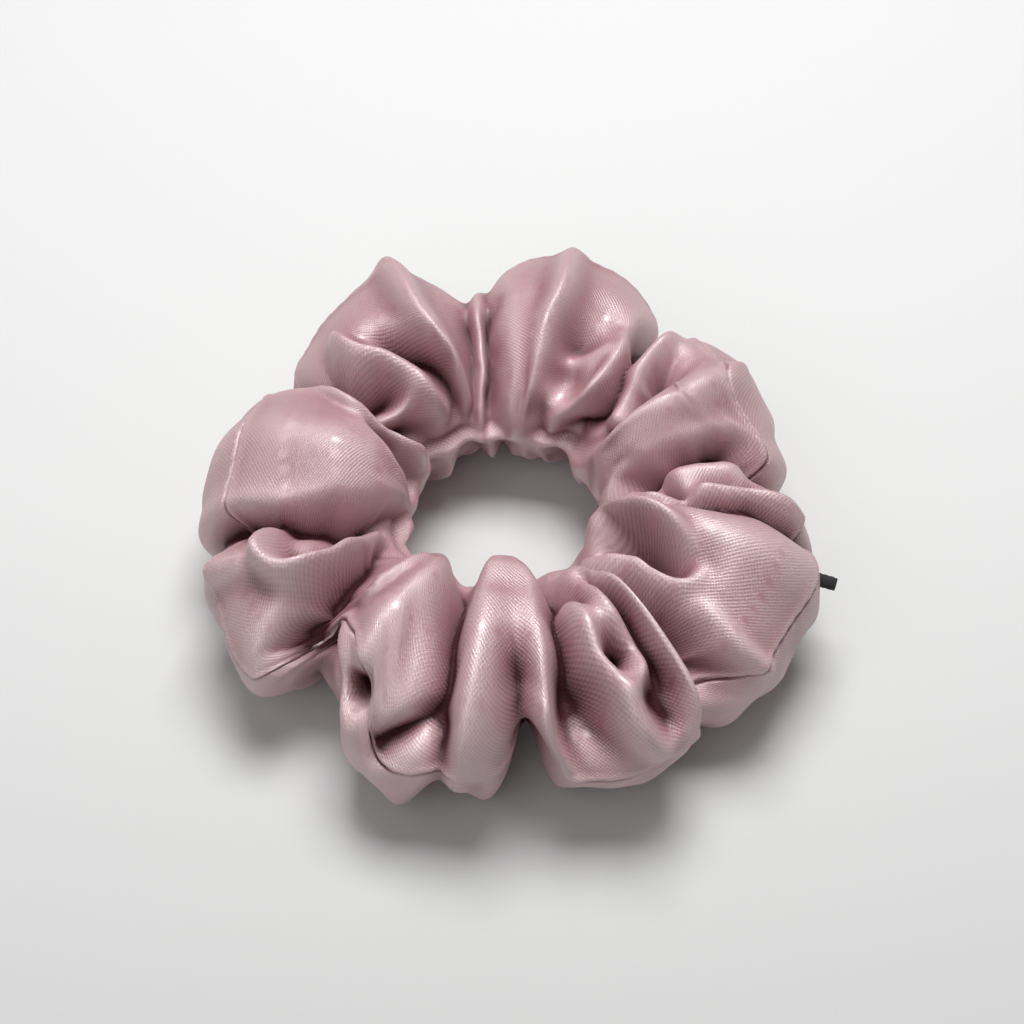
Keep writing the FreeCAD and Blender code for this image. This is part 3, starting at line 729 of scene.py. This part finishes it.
def rubber_material():
    """The elastic's dark latex core."""
    nodes = Nodes("latex_core")
    strands = nodes.add("ShaderNodeTexNoise", {"Scale": 1800.0, "Detail": 2.0})
    colour = nodes.ramp(strands, [(0.3, (0.012, 0.011, 0.01)), (0.8, (0.05, 0.045, 0.04))])
    return nodes.shade(Base_Color=colour, Roughness=0.6)


def run_along(path):
    """How far along a path each of its points lies."""
    return np.concatenate([[0], np.cumsum(np.linalg.norm(np.diff(path, axis=0), axis=1))])


def swept_tube(name, path, radius, sides=16, closed=False, ripple=None):
    """A round tube along a path in millimetres, whose radius may ripple with (way along, angle round)."""
    path = np.array(path, float)
    ahead = np.roll(path, -1, axis=0) if closed else np.vstack([path[1:], 2 * path[-1] - path[-2]])
    behind = np.roll(path, 1, axis=0) if closed else np.vstack([2 * path[0] - path[1], path[:-1]])
    tangent = ahead - behind
    tangent /= np.linalg.norm(tangent, axis=1, keepdims=True)
    side = np.cross(tangent, [0, 0, 1.0])
    side /= np.linalg.norm(side, axis=1, keepdims=True)
    up = np.cross(side, tangent)
    way = run_along(path)
    angle = np.arange(sides) / sides * 2 * math.pi
    size = radius + (ripple(way[:, None], angle[None]) if ripple else 0) * np.ones((len(path), sides))
    ring = np.cos(angle)[None, :, None] * side[:, None] + np.sin(angle)[None, :, None] * up[:, None]
    points = (path[:, None] + ring * size[..., None]).reshape(-1, 3)
    count, faces = len(path), []
    for i in range(count if closed else count - 1):
        for j in range(sides):
            a, b = i * sides + j, i * sides + (j + 1) % sides
            c, d = (i + 1) % count * sides + j, (i + 1) % count * sides + (j + 1) % sides
            faces.append((a, b, d, c))
    if not closed:
        points = np.vstack([points, path[0], path[-1]])
        faces += [(len(points) - 2, (j + 1) % sides, j) for j in range(sides)]
        last = (count - 1) * sides
        faces += [(len(points) - 1, last + j, last + (j + 1) % sides) for j in range(sides)]
    return mesh_piece(name, (points * MM).tolist(), faces)


def joined(name, pieces):
    """Several mesh objects as one piece of that name."""
    points, faces = [], []
    for piece in pieces:
        first = len(points)
        points += [vertex.co[:] for vertex in piece.data.vertices]
        faces += [[first + corner for corner in face.vertices] for face in piece.data.polygons]
        bpy.data.objects.remove(piece)
    return mesh_piece(name, points, faces)


BRAID_PITCH, BRAID_RISE, BRAID_YARNS = 0.55, 0.07, 4


def braid(way, angle):
    """Ripple of a braid: two sets of yarns that wind opposite ways, with the higher one on top."""
    one = np.sin(2 * math.pi * way / BRAID_PITCH / 2 + BRAID_YARNS * angle)
    other = np.sin(2 * math.pi * way / BRAID_PITCH / 2 - BRAID_YARNS * angle)
    return BRAID_RISE * np.maximum(one, other)


def polar(angle, radius, level=LEVEL):
    """The point at that ring angle, radius and level, in millimetres."""
    return [radius * math.cos(math.radians(angle)), radius * math.sin(math.radians(angle)), level]


KNOT_SPREAD = 11  # degrees from the knot's middle to where the loop leaves it


def elastic_loop():
    """The braided sheath and its core, each one unbroken run from one side of the knot to the other."""
    angles = np.linspace(KNOT_ANGLE + KNOT_SPREAD, KNOT_ANGLE + 360 - KNOT_SPREAD, 700)
    path = [polar(angle, LOOP_RADIUS) for angle in angles]
    sheath = swept_tube("elastic_loop", path, CORD / 2 - BRAID_RISE, 24, ripple=braid)
    core = swept_tube("elastic_core_loop", path[4:-4:2], CORE / 2, 16)
    return sheath, core


def knot():
    """The knot, pulled tight: a closed run of thinner cord that passes over and under itself."""
    size, rise, thin = 4.0 / 3, 1.8, 0.9
    turn = np.linspace(0, 2 * math.pi, 260, endpoint=False)
    out = Vector(polar(KNOT_ANGLE, 1, 0))
    side = Vector((-out.y, out.x, 0))
    path = [
        KNOT_MIDDLE
        + np.array(out) * size * (math.sin(t) + 2 * math.sin(2 * t))
        + np.array(side) * size * (math.cos(t) - 2 * math.cos(2 * t))
        + np.array([0, 0, -rise * math.sin(3 * t)])
        for t in turn
    ]
    return swept_tube("elastic_knot_tied", path, thin - 0.05, 20, closed=True, ripple=braid)


FRAYED_LENGTH = 0.8


def tails():
    """The cord's two cut ends beyond the knot. The long one's frayed tip pokes out of the seam."""
    start = LOOP_RADIUS + 2
    reach = math.hypot(TAIL_HIGH[0] - 0.3, TAIL_LOW[1] + CORD / 2)
    way = np.linspace(start, reach, 160)
    bow = 0.9 * np.sin((way - start) / (reach - start) * math.pi)
    long_path = [polar(KNOT_ANGLE + lean, at) for at, lean in zip(way, bow)]
    frayed = np.random.default_rng(7).uniform(-0.16, 0.12, 24)

    def fray(along, angle):
        tip = np.clip((along - (along.max() - FRAYED_LENGTH)) / FRAYED_LENGTH, 0, 1)
        return braid(along, angle) * (1 - tip) + tip * frayed[None, :]

    long_tail = swept_tube("elastic_tail_long_cut", long_path, CORD / 2 - BRAID_RISE, 24, ripple=fray)
    low, high = (np.array(corner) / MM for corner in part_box("elastic_tail_short"))
    first = np.array([low[0] + CORD * 0.45, low[1] + CORD / 2, LEVEL])
    last = np.array([high[0] - CORD * 0.45, high[1] - CORD / 2, LEVEL])
    short_path = [first + (last - first) * s for s in np.linspace(0, 1, 50)]
    short_tail = swept_tube("elastic_tail_short_cut", short_path, CORD / 2 - BRAID_RISE, 24, ripple=braid)
    return long_tail, short_tail


STITCH, PITCH = 2.1, 2.8  # a stitch, and the step from one to the next
THREAD_RADIUS = 0.14
SEAM_INSET, CROSS_INSET = 1.6, 1.2  # from the cloth's surface in to the threads of the long and cross seam
THREAD_OFFSET = 0.25  # of the needle and bobbin threads from the middle of the long seam
OPENING_HALF_ANGLE = 12  # of the opening sewn shut by hand, at the knot
CROSS_SEAM_ANGLE = 10


def stitch(start, end):
    """One stitch: a short bent run of thread that dips into the cloth at both ends."""
    start, end = np.array(start), np.array(end)
    share = np.linspace(0, 1, 7)[:, None]
    arch = np.sin(share * math.pi) * np.array([[0, 0, 0.12]])
    return swept_tube("stitch", start + (end - start) * share + arch, THREAD_RADIUS, 6)


def drawn_in(points, middle, inset):
    """Points moved in by an inset towards a middle."""
    inwards = middle - points
    return points + inwards / np.linalg.norm(inwards, axis=1, keepdims=True) * inset


def seam_thread(name, line, offset, skip):
    """One thread of the long lockstitch seam, beside the seam allowance inside the tube."""
    way = run_along(line)
    angle = np.degrees(np.arctan2(line[:, 1], line[:, 0]))

    def at(place):
        return np.array([np.interp(place, way, line[:, k]) for k in range(3)]) + [0, 0, offset]

    stitches, place = [], 0.0
    while place + STITCH < way[-1]:
        if not skip(np.interp(place, way, angle)):
            stitches.append(stitch(at(place), at(place + STITCH)))
        place += PITCH
    return joined(name, stitches)


def threads(form):
    """Needle and bobbin thread of the long seam, the closing stitches and the cross seam's stitches."""
    rows = fine_rows(FINE[1])
    edge = form[:, int(np.argmin(np.abs(rows)))]
    line = drawn_in(edge, form.mean(axis=1), SEAM_INSET)

    def opening(angle):
        return abs(wrap(angle - KNOT_ANGLE)) < OPENING_HALF_ANGLE

    needle = seam_thread("long_seam_needle_thread", line, THREAD_OFFSET, opening)
    bobbin = seam_thread("long_seam_bobbin_thread", line, -THREAD_OFFSET, opening)
    closing = seam_thread("closing_hand_stitches", line, 0.0, lambda angle: not opening(angle))
    column = int((CROSS_SEAM_ANGLE + 180) / 360 * FINE[0])
    section = drawn_in(form[column], form[column].mean(axis=0), CROSS_INSET)
    section = np.vstack([section, section[:1]])
    way = run_along(section)

    def at(place):
        return np.array([np.interp(place, way, section[:, k]) for k in range(3)])

    places = np.arange(0, way[-1] - STITCH, PITCH)
    cross = joined("cross_seam_stitches", [stitch(at(place), at(place + STITCH)) for place in places])
    return needle, bobbin, closing, cross


def stage():
    """A plain pale floor that also fills the background, with painted shade that darkens it towards the
    front.
    """
    mesh = bpy.data.meshes.new("floor")
    half = 3.0
    corners = [(-half, -half, 0), (half, -half, 0), (half, half, 0), (-half, half, 0)]
    mesh.from_pydata(corners, [], [(0, 1, 2, 3)])
    floor = bpy.data.objects.new("floor", mesh)
    bpy.context.scene.collection.objects.link(floor)
    nodes = Nodes("pale_floor")
    where = nodes.add("ShaderNodeTexCoord")
    place = nodes.add("ShaderNodeSeparateXYZ", {0: where.outputs["Object"]})
    paper = nodes.add("ShaderNodeTexNoise", {"Scale": 1200.0, "Detail": 2.0})
    # painted shade: the floor's colour runs from dark at the front to light at the back, as the light falls
    # off
    depth = {"Value": place.outputs["Y"], "From Min": -0.16, "From Max": 0.2}
    painted_falloff = nodes.add("ShaderNodeMapRange", depth)
    shade = nodes.math("ADD", painted_falloff, nodes.math("MULTIPLY", paper, 0.02))
    # colour stops of the painted shade, from the front to the back
    front, under, far = (0.52, 0.525, 0.52), (0.68, 0.685, 0.68), (0.78, 0.785, 0.78)
    colour = nodes.ramp(shade, [(0.0, front), (0.5, under), (1.0, far)])
    mesh.materials.append(nodes.shade(Base_Color=colour, Roughness=0.9, Specular_IOR_Level=0.2))


def aimed(thing, place, target):
    """Puts a light or camera at a place, looking at a target."""
    thing.location = place
    thing.rotation_euler = (Vector(target) - Vector(place)).to_track_quat("-Z", "Y").to_euler()
    bpy.context.scene.collection.objects.link(thing)


def area_light(name, place, target, size, power):
    """One soft square light."""
    lamp = bpy.data.lights.new(name, "AREA")
    lamp.size, lamp.energy = size, power
    aimed(bpy.data.objects.new(name, lamp), place, target)


def lights():
    """Soft studio light: a key from above and a little behind, a weak front light, and an even pale sky."""
    area_light("key", (0.03, 0.16, 0.66), (0, 0, 0), 0.34, 4.9)
    area_light("front", (-0.22, -0.36, 0.5), (0, 0, 0.01), 0.5, 0.9)
    world = bpy.data.worlds.new("studio")
    world.use_nodes = True
    world.node_tree.nodes["Background"].inputs["Strength"].default_value = 0.14
    world.node_tree.nodes["Background"].inputs["Color"].default_value = (1, 1, 1, 1)
    bpy.context.scene.world = world
    bpy.context.scene.view_settings.view_transform = "Standard"


def camera():
    """A long lens that looks down at the ring from in front."""
    elevation, distance, target = math.radians(53), 0.425, Vector((0.0009, 0, 0.0173))
    lens = bpy.data.cameras.new("camera")
    lens.lens, lens.sensor_width = 85, 36
    view = bpy.data.objects.new("camera", lens)
    aimed(view, target + distance * Vector((0, -math.cos(elevation), math.sin(elevation))), target)
    bpy.context.scene.camera = view


def dress(piece, material, slot, *nodes):
    """Gives a piece its material, hides the CAD nodes that it stands for, and bakes its transform."""
    if material is not None:
        piece.data.materials.append(material)
    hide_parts(*nodes)
    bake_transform(piece)


camera()
cover, cover_points = satin_cover()
dress(cover, None, "satin", "cover_left", "cover_right")
sheath, core = elastic_loop()
black = braid_material()
dress(sheath, black, "elastic_sheath", "elastic_sheath_left", "elastic_sheath_right")
dress(core, rubber_material(), "elastic_core", "elastic_core_left", "elastic_core_right")
dress(knot(), black, "elastic_sheath", "elastic_knot")
long_tail, short_tail = tails()
dress(long_tail, black, "elastic_sheath", "elastic_tail_long")
dress(short_tail, black, "elastic_sheath", "elastic_tail_short")
needle, bobbin, closing, cross = threads(cover_points)
thread = thread_material()
dress(needle, thread, "thread", "needle_thread_left", "needle_thread_right")
dress(bobbin, thread, "thread", "bobbin_thread_left", "bobbin_thread_right")
dress(closing, thread, "thread", "closing_thread")
dress(cross, thread, "thread", "cross_seam_thread")
stage()
lights()
